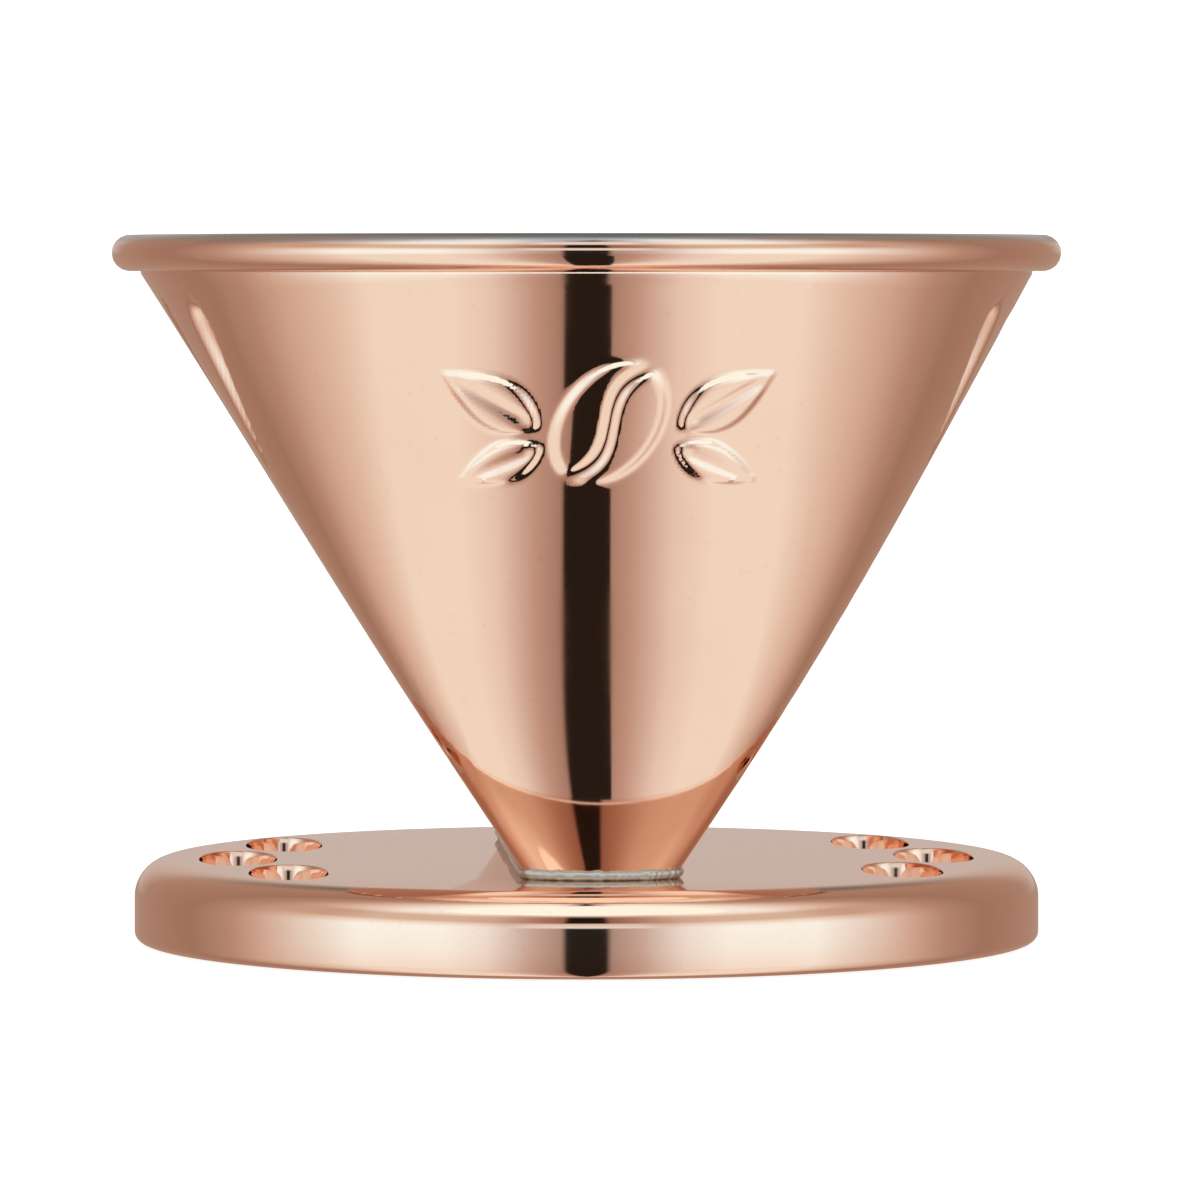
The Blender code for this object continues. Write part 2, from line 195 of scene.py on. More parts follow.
def close_edit():
    bpy.ops.object.mode_set(mode="OBJECT")


def rolled_sheet(name, columns, rows):
    """Roll a flat grid into a ring-shaped piece.

    The rows are functions that give a point for a column. The grid's two sides meet and are merged.
    """
    clear_selection()
    bpy.ops.mesh.primitive_grid_add(x_subdivisions=len(columns), y_subdivisions=len(rows) - 1, size=1.0)
    obj = bpy.context.object
    obj.name = name
    obj.data.name = name
    width = len(columns) + 1
    obj.vertex_groups.new(name=FIRST_ROW).add(list(range(width)), 1.0, "REPLACE")
    for vertex in obj.data.vertices:
        row, column = divmod(vertex.index, width)
        vertex.co = AXIS + rows[row](columns[column % len(columns)])
    edit(obj, "VERT")
    bpy.ops.mesh.select_all(action="SELECT")
    bpy.ops.mesh.remove_doubles(threshold=MERGE_DISTANCE)
    bpy.ops.mesh.normals_make_consistent(inside=False)
    close_edit()
    return obj


def join_and_fill(obj, pieces):
    """Join pieces to an object and fill the flat area between all their first rows."""
    make_active(obj)
    for piece in pieces:
        piece.select_set(True)
    bpy.ops.object.join()
    edit(obj, "VERT")
    obj.vertex_groups.active = obj.vertex_groups[FIRST_ROW]
    bpy.ops.object.vertex_group_select()
    bpy.ops.mesh.fill(use_beauty=True)
    bpy.ops.mesh.select_all(action="SELECT")
    bpy.ops.mesh.normals_make_consistent(inside=False)
    close_edit()


def face_outwards(obj, probe):
    """Turn all faces over when the face nearest the probe point looks away from the probe."""
    nearest = min(obj.data.polygons, key=lambda face: (face.center - probe).length)
    if nearest.normal.dot(probe - nearest.center) < 0:
        edit(obj, "FACE")
        bpy.ops.mesh.select_all(action="SELECT")
        bpy.ops.mesh.flip_normals()
        close_edit()


def give_thickness(obj, thickness, inner_slot=0):
    """Turn a surface into sheet metal that grows inwards from it."""
    make_active(obj)
    modifier = obj.modifiers.new("Sheet", "SOLIDIFY")
    modifier.thickness = thickness
    modifier.offset = -1.0
    modifier.material_offset = inner_slot
    bpy.ops.object.modifier_apply(modifier=modifier.name)


def finish_piece(obj, node, sharp=radians(40)):
    """Smooth the piece and let it stand for its node."""
    make_active(obj)
    bpy.ops.object.shade_smooth_by_angle(angle=sharp)
    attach(obj, "root")
    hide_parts(node)


def spread(number, low, high, weight):
    """Numbers from low to high, packed more closely where the weight is larger."""
    fine = np.linspace(low, high, 4001)
    density = np.array([weight(x) for x in fine])
    total = np.concatenate(([0.0], np.cumsum((density[1:] + density[:-1]) / 2)))
    return [float(x) for x in np.interp(np.linspace(0.0, total[-1], number), total, fine)]


def smooth_step(low, high, x):
    share = max(0.0, min(1.0, (x - low) / (high - low)))
    return share * share * (3 - 2 * share)


def even_angles(number):
    return [2 * pi * i / number for i in range(number)]


# The funnel's wall


def wall_section(s, height):
    """Funnel's outer section at a height: half width, depth of its curved ends, half straight length.

    The end walls keep the rim's curvature all the way down, and only their corners get tighter.
    """
    share = (height - s.floor_bottom) / (s.rim_top - 2 * s.bead_radius - s.floor_bottom)
    swell = s.wall_swell * sin(pi * max(share, 0.0) ** 0.8) ** 2
    half_width = s.floor_half_width + (s.wall_top_radius - s.floor_half_width) * share + swell
    half_length = s.floor_half_length + (s.wall_top_radius - s.floor_half_length) * share + swell
    rounding = s.floor_rounding * max(0.0, 1 - share) ** 8
    depth = half_width * min(1.0, half_width / s.wall_top_radius + rounding)
    return half_width, depth, half_length - depth


def end_curvature(s, height):
    """Curvature of the middle of the end walls at a height."""
    half_width, depth, _ = wall_section(s, height)
    return depth / half_width**2


def wall_point(s, angle, height, offset=0.0):
    """Point of the funnel's outer face, moved outwards by a horizontal offset."""
    half_width, depth, straight = wall_section(s, height)
    turned = asin(sin(angle))
    end = sin(pi / 2 * max(-1.0, min(1.0, turned / s.side_softness)))
    x = (half_width + offset) * cos(angle)
    return Vector((x, (depth + offset) * sin(angle) + straight * end, height))


def level_angle(s, column, height):
    """Angle at a height for a mesh column, given by its angle at the round rim.

    A column keeps its share of the funnel's length, so it runs nearly straight up the wall.
    """
    _, depth, straight = wall_section(s, height)
    reach = abs(sin(column)) * (depth + straight)
    share = (reach - straight) / depth
    turned = asin(max(-1.0, min(1.0, share)))
    if turned < s.side_softness:
        low, high = 0.0, s.side_softness
        for _ in range(22):
            turned = (low + high) / 2
            if depth * sin(turned) + straight * sin(pi / 2 * turned / s.side_softness) < reach:
                low = turned
            else:
                high = turned
    if sin(column) < 0:
        turned = -turned
    return turned if cos(column) > 0 else pi - turned


def wall_normal(s, angle, height):
    around = wall_point(s, angle + 0.001, height) - wall_point(s, angle - 0.001, height)
    up = wall_point(s, angle, height + 0.05 * MM) - wall_point(s, angle, height - 0.05 * MM)
    return around.cross(up).normalized()


# Distances of the ribs from the middle of a side, at their round ends and at their points, in millimetres
RIB_PLACES = ((0.0, 0.0), (12.0, 13.5), (23.5, 26.5))


def rib_depth(s, y, height):
    """Depth of the pressed ribs: on each side five teardrops, round at the top, fanned out upwards."""
    share = (s.rib_top - height) / (s.rib_top - s.rib_bottom)
    if share <= 0.0 or share >= 1.0:
        return 0.0
    round_end = 1.4 * s.rib_width / (s.rib_top - s.rib_bottom)
    cap = sqrt(1 - (1 - min(1.0, share / round_end)) ** 2)
    taper = cap * (1 - share) ** 0.75
    depth = 0.0
    for top, bottom in RIB_PLACES:
        middle = (top + (bottom - top) * share) * MM
        across = abs(abs(y) - middle) / (s.rib_width * max(taper, 0.05))
        if across < 1.0:
            depth = max(depth, s.rib_depth * min(1.0, 1.4 * taper) * cos(across * pi / 2) ** 2)
    return depth


def leaf_height(x, z, stem, tip, half_width):
    """Pointed leaf between two points, in millimetres, with a vein along its middle."""
    along = tip - stem
    reach = along.length
    forward = along / reach
    point = Vector((x, z)) - stem
    share = point.dot(forward) / reach
    if not 0.0 < share < 1.0:
        return 0.0
    across = abs(point.x * forward.y - point.y * forward.x)
    width = half_width * sin(pi * share**0.75)
    body = 1 - smooth_step(width - 1.1, width + 0.1, across)
    vein = 1 - smooth_step(0.1, 1.1, across)
    return body * (0.95 - 0.55 * vein * smooth_step(0.0, 0.2, share) * smooth_step(1.0, 0.8, share))


def bean_height(x, z):
    """Coffee bean, in millimetres, with its curved crease."""
    lean = radians(52)
    along = x * cos(lean) + z * sin(lean)
    across = -x * sin(lean) + z * cos(lean)
    edge = sqrt((along / 8.6) ** 2 + (across / 6.0) ** 2)
    if edge > 1.1:
        return 0.0
    body = 1 - smooth_step(0.84, 1.02, edge)
    crease = abs(across - 1.5 * sin(along * pi / 8.6))
    groove = 1 - smooth_step(0.25, 1.25, crease)
    return body * (0.8 + 0.2 * (1 - edge * edge) - 0.75 * groove)


def emblem_height(x, z):
    """The embossed sprig: a bean between two pairs of leaves, in millimetres from its centre."""
    height = bean_height(x, z)
    side = abs(x)
    height = max(height, leaf_height(side, z, Vector((8.4, -0.6)), Vector((20.5, 6.2)), 3.3))
    return max(height, leaf_height(side, z, Vector((8.0, -3.0)), Vector((18.6, -7.4)), 2.7))


EMBLEM_HALF_HEIGHT = 10 * MM
EMBLEM_HALF_WIDTH = 21.5 * MM
RIBS_HALF_WIDTH = 30 * MM


def relief(s, angle, height):
    """How far the wall is pressed out (emblem, on the front) or in (ribs, on the two sides)."""
    if abs(height - s.emblem_height) < EMBLEM_HALF_HEIGHT and sin(angle) < -0.7:
        lateral = wall_point(s, angle, height).x / MM
        raised = s.emblem_relief * emblem_height(lateral, (height - s.emblem_height) / MM)
        if raised > 0.0:
            return raised
    if abs(cos(angle)) > 0.8:
        return -rib_depth(s, wall_point(s, angle, height).y, height)
    return 0.0


def pressed_wall(s, angle, height):
    point = wall_point(s, angle, height)
    press = relief(s, angle, height)
    if press == 0.0:
        return point
    return point + wall_normal(s, angle, height) * press


def ring(radius, height):
    """Row of a piece that is round about the axis."""
    return lambda angle: Vector((radius * cos(angle), radius * sin(angle), height))


def bend_row(start, corner, end, share):
    """Row of a round bend that is tangent to the lines from its corner to its two ends."""

    def place(angle):
        a, b, c = start(angle), corner(angle), end(angle)
        return a.lerp(b, share).lerp(b.lerp(c, share), share)

    return place


def wall_row(s, height, offset=0.0):
    return lambda angle: wall_point(s, angle, height, offset)


def column_row(s, height, offset=0.0):
    """Row of the funnel's mesh: like wall_row, but its columns run nearly straight up."""
    return lambda column: wall_point(s, level_angle(s, column, height), height, offset)


def funnel_rows(s):
    """Rows of the copper face: floor edge, wall with its relief, and the roll inside the rim."""

    def closeness(height):
        if abs(height - s.emblem_height) < EMBLEM_HALF_HEIGHT - 0.5 * MM:
            return 4.5
        return 2.8 if s.rib_bottom < height < s.rib_top + MM else 1.0

    def pressed_row(height):
        return lambda column: pressed_wall(s, level_angle(s, column, height), height)

    wall_top = s.rim_top - 2 * s.bead_radius
    hollow = s.bead_radius - s.sheet
    centre_radius = s.rim_radius - s.bead_radius
    centre_height = s.rim_top - s.bead_radius
    kink = 0.4 * MM
    bend_low = column_row(s, s.floor_bottom, -s.floor_corner)
    bend_high = column_row(s, s.floor_bottom + s.floor_corner)
    rows = [column_row(s, s.floor_bottom, -s.floor_corner - 0.5 * MM), bend_low]
    corner = column_row(s, s.floor_bottom)
    rows += [bend_row(bend_low, corner, bend_high, step / 6) for step in range(1, 6)]
    low = s.floor_bottom + s.floor_corner
    rows += [pressed_row(height) for height in spread(s.wall_rows, low, wall_top - kink, closeness)]
    below = column_row(s, wall_top - kink)
    corner = ring(centre_radius - hollow, wall_top)
    above = ring(centre_radius - hollow, wall_top + kink)
    rows += [bend_row(below, corner, above, step / 4) for step in range(1, 5)]
    for step in range(15):
        a = pi + (s.bead_end - pi) * step / 14
        rows.append(ring(centre_radius + hollow * cos(a), centre_height + hollow * sin(a)))
    return rows


def funnel_columns(s):
    """Angles of the columns, evenly spaced along the wall and closer at the emblem and the ribs."""

    middle = column_row(s, s.emblem_height)

    def closeness(column):
        spot = middle(column)
        step = (middle(column + 0.001) - spot).length / (0.001 * s.wall_top_radius)
        if abs(spot.x) < EMBLEM_HALF_WIDTH and spot.y < 0:
            return 2.9 * step
        return (2.5 if abs(spot.y) < RIBS_HALF_WIDTH else 0.5) * step

    return spread(s.columns + 1, 0.0, 2 * pi, closeness)[:-1]


class DRIPPER_OT_funnel(bpy.types.Operator):
    """Press the funnel from one sheet: slotted floor, ribs, emblem and rolled rim"""

    bl_idname = "dripper.funnel"
    bl_label = "Funnel"

    def execute(self, context):
        s, _, _ = settings(context)
        shell = rolled_sheet("funnel_shell", funnel_columns(s), funnel_rows(s))
        holes = []
        for row in (-1, 0, 1):
            rows = [self.hole_row(s, row, radius) for radius in (1.35 * s.hole_radius, s.hole_radius)]
            holes.append(rolled_sheet("drip_hole", even_angles(40), rows))
        join_and_fill(shell, holes)
        face_outwards(shell, AXIS + Vector((0.035, 0.0, 0.03)))
        shell.data.materials.append(make_copper("polished_copper", "around"))
        shell.data.materials.append(make_tin())
        give_thickness(shell, s.sheet, inner_slot=1)
        finish_piece(shell, "funnel_body")
        return {"FINISHED"}

    def hole_row(self, s, row, radius):
        middle = Vector((0.0, row * s.hole_spacing, 0.0))
        return lambda angle: middle + ring(radius, s.floor_bottom)(angle)


# The base


def signed_power(value, exponent):
    return copysign(abs(value) ** exponent, value)


def oval_row(s, centre, inset, height):
    """Row of a sight hole's edge, inset from its outline on the top face."""
    half_width = s.hole_width / 2 + s.hole_round - inset
    half_length = s.hole_length / 2 + s.hole_round - inset
    exponent = 2 / s.hole_squareness

    def place(angle):
        x = half_width * signed_power(cos(angle), exponent)
        y = half_length * signed_power(sin(angle), exponent)
        return centre + Vector((x, y, height))

    return place


def oval_rows(s, centre):
    """Rows over a sight hole's tight top bend and down its steep lip."""
    rows = [oval_row(s, centre, -0.03 * MM, s.top)]
    for step in range(6):
        a = s.lip_slope * step / 5
        rows.append(oval_row(s, centre, s.lip_bend * sin(a), s.top - s.lip_bend * (1 - cos(a))))
    inset = s.lip_bend * sin(s.lip_slope)
    depth = s.lip_bend * (1 - cos(s.lip_slope))
    for share in (0.33, 0.67, 1.0):
        drop = (s.hole_depth - depth) * share
        rows.append(oval_row(s, centre, inset + drop / tan(s.lip_slope), s.top - depth - drop))
    return rows


def base_edge_rows(s):
    """Rows from the flat top over the round edge and down the wall to the turned-in flange."""
    flat = s.radius - s.edge
    rows = []
    for step in range(15):
        a = pi / 2 * (1 - step / 14)
        rows.append(ring(flat + s.edge * cos(a), s.top - s.edge + s.edge * sin(a)))
    rows.append(ring(s.radius, (s.top - s.edge + s.foot) / 2))
    for step in range(7):
        a = -pi / 2 * step / 6
        rows.append(ring(s.radius - s.foot + s.foot * cos(a), s.foot + s.foot * sin(a)))
    rows.append(ring(s.radius - s.foot - 0.4 * MM, 0.0))
    rows.append(ring(s.radius - s.flange + 0.3 * MM, 0.0))
    rows.append(ring(s.radius - s.flange, 0.0))
    return rows


class DRIPPER_OT_base(bpy.types.Operator):
    """Press the base: flat top with its slot, turned-down sight holes, round edge and foot flange"""

    bl_idname = "dripper.base"
    bl_label = "Base"

    def execute(self, context):
        funnel, s, _ = settings(context)
        disc = rolled_sheet("base_disc", even_angles(288), base_edge_rows(s))
        pieces = [disc]
        slot_rows = [wall_row(funnel, s.top, offset) for offset in (1.2 * MM, 0.4 * MM)]
        pieces.append(rolled_sheet("slot", even_angles(180), slot_rows))
        for side in (-1, 1):
            for x, y in ((s.middle_x, 0.0), (s.outer_x, s.outer_y), (s.outer_x, -s.outer_y)):
                centre = Vector((side * x, y, 0.0))
                pieces.append(rolled_sheet("hole", even_angles(72), oval_rows(s, centre)))
        join_and_fill(disc, pieces)
        face_outwards(disc, AXIS + Vector((0.2, 0.0, 0.3)))
        disc.data.materials.append(make_copper("base_copper", "around"))
        give_thickness(disc, s.sheet)
        finish_piece(disc, "base_plate")
        return {"FINISHED"}


# Solder


def solder_rows(funnel, height, offset, size, seed):
    """Rows round the section of a lumpy bead of solder that follows the neck."""
    rows = []
    for step in range(16):
        a = 2 * pi * step / 16

        def place(angle, a=a):
            spot = wall_point(funnel, angle, height, offset)
            lump = noise.noise(spot * 900 + Vector((seed, 0.0, 0.0)))
            fine = noise.noise(spot * 2600 + Vector((0.0, seed, 0.0)))
            swell = size * (1 + 0.26 * lump + 0.12 * fine)
            away = offset + swell * cos(a)
            return wall_point(funnel, angle, height + swell * sin(a), away)

        rows.append(place)
    return rows


class DRIPPER_OT_neck_solder(bpy.types.Operator):
    """Run the solder round the neck, above and below the base"""

    bl_idname = "dripper.neck_solder"
    bl_label = "Neck solder"

    def execute(self, context):
        funnel, base, _ = settings(context)
        solder = make_solder()
        runs = (
            ("neck_fillet_top", "neck_solder_top", base.top + 0.5 * MM, 3.0),
            ("neck_fillet_under", "neck_solder_under", base.top - base.sheet - 0.5 * MM, 8.0),
        )
        for name, node, height, seed in runs:
            rows = solder_rows(funnel, height, 0.15 * MM, 0.62 * MM, seed)
            bead = rolled_sheet(name, even_angles(420), rows + rows[:1])
            bead.data.materials.append(solder)
            finish_piece(bead, node, sharp=radians(80))
        return {"FINISHED"}


# The handle


TOP_FOOT = (53.0 * MM, 65.0 * MM)
BOTTOM_FOOT = (19.5 * MM, 30.0 * MM)
OUTER_HEIGHT = 56.0 * MM
CUP_FADE = 6.0 * MM
PAD_MARGIN = 1.4 * MM
PAD_SINK = 0.35 * MM
PAD_LUMPS = 0.12 * MM


def back_wall(funnel, height, offset):
    """Point on the middle of the funnel's back, moved outwards along the wall's normal."""
    point = wall_point(funnel, pi / 2, height)
    return point + wall_normal(funnel, pi / 2, height) * offset


def handle_path(funnel, handle):
    """Points of the strip's centre line from the top foot to the bottom foot."""
    offset = handle.standoff + handle.thickness / 2
    top_low, top_high = [back_wall(funnel, height, offset) for height in TOP_FOOT]
    bottom_low, bottom_high = [back_wall(funnel, height, offset) for height in BOTTOM_FOOT]
    outermost = Vector((0.0, handle.reach - handle.thickness / 2, OUTER_HEIGHT))
    wall_up = (top_high - top_low).normalized()
    up = Vector((0.0, 0.0, 1.0))
    upper_pulls = (top_high + wall_up * 12 * MM, outermost + up * 17 * MM)
    lower_pulls = (outermost - up * 19 * MM, bottom_high + wall_up * 13 * MM)
    upper = interpolate_bezier(top_high, *upper_pulls, outermost, 44)
    lower = interpolate_bezier(outermost, *lower_pulls, bottom_high, 40)
    foot_top = [top_low.lerp(top_high, share) for share in foot_shares()]
    foot_bottom = [bottom_low.lerp(bottom_high, share) for share in foot_shares()]
    return foot_top + upper + lower[1:] + foot_bottom[::-1]


def foot_shares():
    """Places along a foot from its end to its bend, closest at the rounded end."""
    return [(step / 12) ** 1.7 for step in range(12)]


def strip_frames(points):
    """Direction along the strip and the normal of its outer face, at every point."""
    frames = []
    for i in range(len(points)):
        along = (points[min(i + 1, len(points) - 1)] - points[max(i - 1, 0)]).normalized()
        frames.append((along, Vector((0.0, along.z, -along.y))))
    return frames


def section_point(width, thickness, angle):
    """Point of a rectangle with round short sides, across and through the strip."""
    across = signed_power(cos(angle), 0.28) * width / 2
    through = signed_power(sin(angle), 0.75) * thickness / 2
    return across, through


def strip_rows(points, cupping, width, thickness, corner, lumps=0.0):
    """Rows of a strip, each a closed section. The ends are rounded in plan."""
    frames = strip_frames(points)
    run = [0.0]
    for a, b in zip(points, points[1:]):
        run.append(run[-1] + (b - a).length)
    rows = []
    for point, (along, normal), cup, done in zip(points, frames, cupping, run):
        end = min(corner, min(done, run[-1] - done) + 0.02 * corner)
        narrowed = width - 2 * (corner - sqrt(corner**2 - (corner - end) ** 2))
        thinned = thickness * (0.55 + 0.45 * smooth_step(0.0, 0.25 * corner, end))

        def place(angle, point=point, normal=normal, cup=cup, narrowed=narrowed, thinned=thinned):
            across, through = section_point(narrowed, thinned, angle)
            spot = point + Vector((across, 0.0, 0.0)) + normal * (through - cup * across * across / 2)
            return spot + normal * lumps * noise.noise(spot * 700)

        rows.append(place)
    return rows


def close_ends(obj):
    """Fill the two open ends of a strip."""
    edit(obj, "EDGE")
    bpy.ops.mesh.select_all(action="SELECT")
    bpy.ops.mesh.region_to_loop()
    bpy.ops.mesh.edge_face_add()
    bpy.ops.mesh.select_all(action="SELECT")
    bpy.ops.mesh.normals_make_consistent(inside=False)
    close_edit()


class DRIPPER_OT_handle(bpy.types.Operator):
    """Bend the strip handle and run solder under its two feet"""

    bl_idname = "dripper.handle"
    bl_label = "Handle"

    def execute(self, context):
        funnel, _, s = settings(context)
        self.bend_strip(funnel, s)
        solder = make_solder()
        for name, node, foot in (
            ("handle_pad_top", "handle_solder_top", TOP_FOOT),
            ("handle_pad_bottom", "handle_solder_bottom", BOTTOM_FOOT),
        ):
            pad = self.solder_pad(funnel, s, name, foot)
            pad.data.materials.append(solder)
            finish_piece(pad, node, sharp=radians(80))
        return {"FINISHED"}

    def bend_strip(self, funnel, s):
        """Bend the strip. It is cupped to the wall at its feet and flat round the loop."""
        points = handle_path(funnel, s)
        outermost = max(range(len(points)), key=lambda i: points[i].y)
        offset = s.standoff + s.thickness / 2
        cupping = []
        for i, point in enumerate(points):
            clearance = (point - back_wall(funnel, point.z, offset)).length
            side = 1 if i < outermost else -1
            cupping.append(side * max(0.0, 1 - clearance / CUP_FADE) * end_curvature(funnel, point.z))
        rows = strip_rows(points, cupping, s.width, s.thickness, s.corner)
        strip = rolled_sheet("handle_strip", even_angles(56), rows)
        close_ends(strip)
        strip.data.materials.append(make_copper("handle_copper", "along"))
        finish_piece(strip, "handle")

    def solder_pad(self, funnel, s, name, foot):
        """Thin cushion of solder between a foot and the wall, a little larger than the foot."""
        low, high = foot[0] - PAD_MARGIN, foot[1] + PAD_MARGIN
        heights = [low + (high - low) * step / 24 for step in range(25)]
        points = [back_wall(funnel, height, s.standoff / 2) for height in heights]
        cupping = [end_curvature(funnel, height) for height in heights]
        width, corner = s.width + 2 * PAD_MARGIN, s.corner + PAD_MARGIN
        rows = strip_rows(points, cupping, width, s.standoff + PAD_SINK, corner, PAD_LUMPS)
        pad = rolled_sheet(name, even_angles(72), rows)
        close_ends(pad)
        return pad


class DRIPPER_OT_rim_wire(bpy.types.Operator):
    """Give the wire inside the rolled rim its drawn steel finish"""

    bl_idname = "dripper.rim_wire"
    bl_label = "Rim wire"

    def execute(self, context):
        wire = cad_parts["rim_wire"]
        wire.data.materials.clear()
        wire.data.materials.append(make_wire_steel())
        return {"FINISHED"}


# Finishes


def math_node(tree, operation, *values, clamp=False):
    """Math node on links or numbers. Returns its output."""
    node = tree.nodes.new("ShaderNodeMath")
    node.operation = operation
    node.use_clamp = clamp
    for socket, value in zip(node.inputs, values):
        if isinstance(value, bpy.types.NodeSocket):
            tree.links.new(value, socket)
        else:
            socket.default_value = value
    return node.outputs[0]


def range_node(tree, value, from_low, from_high, to_low=0.0, to_high=1.0):
    """Smooth step from one number to another while the value goes from low to high."""
    node = tree.nodes.new("ShaderNodeMapRange")
    node.interpolation_type = "SMOOTHSTEP"
    tree.links.new(value, node.inputs["Value"])
    node.inputs["From Min"].default_value = from_low
    node.inputs["From Max"].default_value = from_high
    node.inputs["To Min"].default_value = to_low
    node.inputs["To Max"].default_value = to_high
    return node.outputs["Result"]


def ramp_node(tree, value, stops):
    """Colour ramp. The stops are pairs of a place and a colour, or of a place and a grey."""
    node = tree.nodes.new("ShaderNodeValToRGB")
    tree.links.new(value, node.inputs["Fac"])
    ramp = node.color_ramp
    while len(ramp.elements) < len(stops):
        ramp.elements.new(0.5)
    for element, (place, shade) in zip(ramp.elements, stops):
        element.position = place
        element.color = (*shade, 1.0) if isinstance(shade, tuple) else (shade, shade, shade, 1.0)
    return node.outputs["Color"]


def noise_node(tree, vector, scale, detail=2.0, roughness=0.5):
    node = tree.nodes.new("ShaderNodeTexNoise")
    node.inputs["Scale"].default_value = scale
    node.inputs["Detail"].default_value = detail
    node.inputs["Roughness"].default_value = roughness
    tree.links.new(vector, node.inputs["Vector"])
    return node.outputs["Fac"]


def new_group(name, inputs, outputs):
    """Node group with its sockets made. Returns the tree with its input and output nodes."""
    tree = bpy.data.node_groups.new(name, "ShaderNodeTree")
    for socket_name, kind in inputs:
        tree.interface.new_socket(socket_name, in_out="INPUT", socket_type=kind)
    for socket_name, kind in outputs:
        tree.interface.new_socket(socket_name, in_out="OUTPUT", socket_type=kind)
    return tree, tree.nodes.new("NodeGroupInput"), tree.nodes.new("NodeGroupOutput")


def polish_group():
    """Buffing marks round the axis or along the strip, with smudges from handling."""
    if "Polish Marks" in bpy.data.node_groups:
        return bpy.data.node_groups["Polish Marks"]
    tree, source, result = new_group(
        "Polish Marks",
        [("Grain", "NodeSocketVector"), ("Position", "NodeSocketVector")],
        [("Lines", "NodeSocketFloat"), ("Smudges", "NodeSocketFloat"), ("Pits", "NodeSocketFloat")],
    )
    lines = noise_node(tree, source.outputs["Grain"], 1.0, 3.0, 0.6)
    smudges = noise_node(tree, source.outputs["Position"], 42.0, 3.0, 0.55)
    pits = noise_node(tree, source.outputs["Position"], 900.0, 1.0)
    tree.links.new(lines, result.inputs["Lines"])
    tree.links.new(range_node(tree, smudges, 0.42, 0.72), result.inputs["Smudges"])
    tree.links.new(range_node(tree, pits, 0.66, 0.78), result.inputs["Pits"])
    return tree


def new_material(name, base_colour, metallic, roughness):
    """Material with a Principled shader. Returns the material, its tree and the shader."""
    material = bpy.data.materials.new(name)
    material.use_nodes = True
    tree = material.node_tree
    shader = tree.nodes["Principled BSDF"]
    shader.inputs["Base Color"].default_value = (*base_colour, 1.0)
    shader.inputs["Metallic"].default_value = metallic
    shader.inputs["Roughness"].default_value = roughness
    return material, tree, shader


def centred_position(tree):
    """Object position with the funnel's axis at x = y = 0, and its separated parts."""
    position = tree.nodes.new("ShaderNodeTexCoord")
    mapping = tree.nodes.new("ShaderNodeMapping")
    mapping.inputs["Location"].default_value = -AXIS
    tree.links.new(position.outputs["Object"], mapping.inputs["Vector"])
    parts = tree.nodes.new("ShaderNodeSeparateXYZ")
    tree.links.new(mapping.outputs["Vector"], parts.inputs[0])
    return mapping.outputs["Vector"], parts.outputs


def radius_of(tree, parts):
    x_squared = math_node(tree, "MULTIPLY", parts["X"], parts["X"])
    y_squared = math_node(tree, "MULTIPLY", parts["Y"], parts["Y"])
    return math_node(tree, "SQRT", math_node(tree, "ADD", x_squared, y_squared))


FINE_GRAIN = 2600.0
LONG_GRAIN = 60.0
TURNED_GRAIN = 6.0


def grain_vector(tree, parts, direction):
    """Coordinates that are long along the buffing marks: round the axis, or along the strip."""
    grain = tree.nodes.new("ShaderNodeCombineXYZ")
    if direction == "around":
        swing = math_node(tree, "ARCTAN2", parts["Y"], parts["X"])
        lengths = ((radius_of(tree, parts), FINE_GRAIN), (parts["Z"], FINE_GRAIN), (swing, TURNED_GRAIN))
    else:
        lengths = ((parts["X"], FINE_GRAIN), (parts["Y"], LONG_GRAIN), (parts["Z"], LONG_GRAIN))
    for socket, (value, scale) in zip(grain.inputs, lengths):
        tree.links.new(math_node(tree, "MULTIPLY", value, scale), socket)
    return grain.outputs["Vector"]


def marks_node(tree, direction):
    """The polish group, fed with this piece's grain and position."""
    position, parts = centred_position(tree)
    marks = tree.nodes.new("ShaderNodeGroup")
    marks.node_tree = polish_group()
    tree.links.new(grain_vector(tree, parts, direction), marks.inputs["Grain"])
    tree.links.new(position, marks.inputs["Position"])
    return marks.outputs, parts


def mix_colours(tree, share, first, second, blend="MIX"):
    """Colour mix. The share and the colours are links or values."""
    mix = tree.nodes.new("ShaderNodeMix")
    mix.data_type = "RGBA"
    mix.blend_type = blend
    if isinstance(share, bpy.types.NodeSocket):
        tree.links.new(share, mix.inputs[0])
    else:
        mix.inputs[0].default_value = share
    for socket, value in ((mix.inputs[6], first), (mix.inputs[7], second)):
        if isinstance(value, bpy.types.NodeSocket):
            tree.links.new(value, socket)
        else:
            socket.default_value = (*value, 1.0)
    return mix.outputs[2]


def add_bump(tree, shader, height, distance):
    bump = tree.nodes.new("ShaderNodeBump")
    bump.inputs["Distance"].default_value = distance
    bump.inputs["Strength"].default_value = 1.0
    tree.links.new(height, bump.inputs["Height"])
    tree.links.new(bump.outputs["Normal"], shader.inputs["Normal"])


def polished_roughness(tree, marks, finish):
    """Roughness of bare polished copper, a little uneven along its buffing marks."""
    return math_node(tree, "MULTIPLY_ADD", marks["Lines"], 0.035, finish.copper_roughness - 0.015)


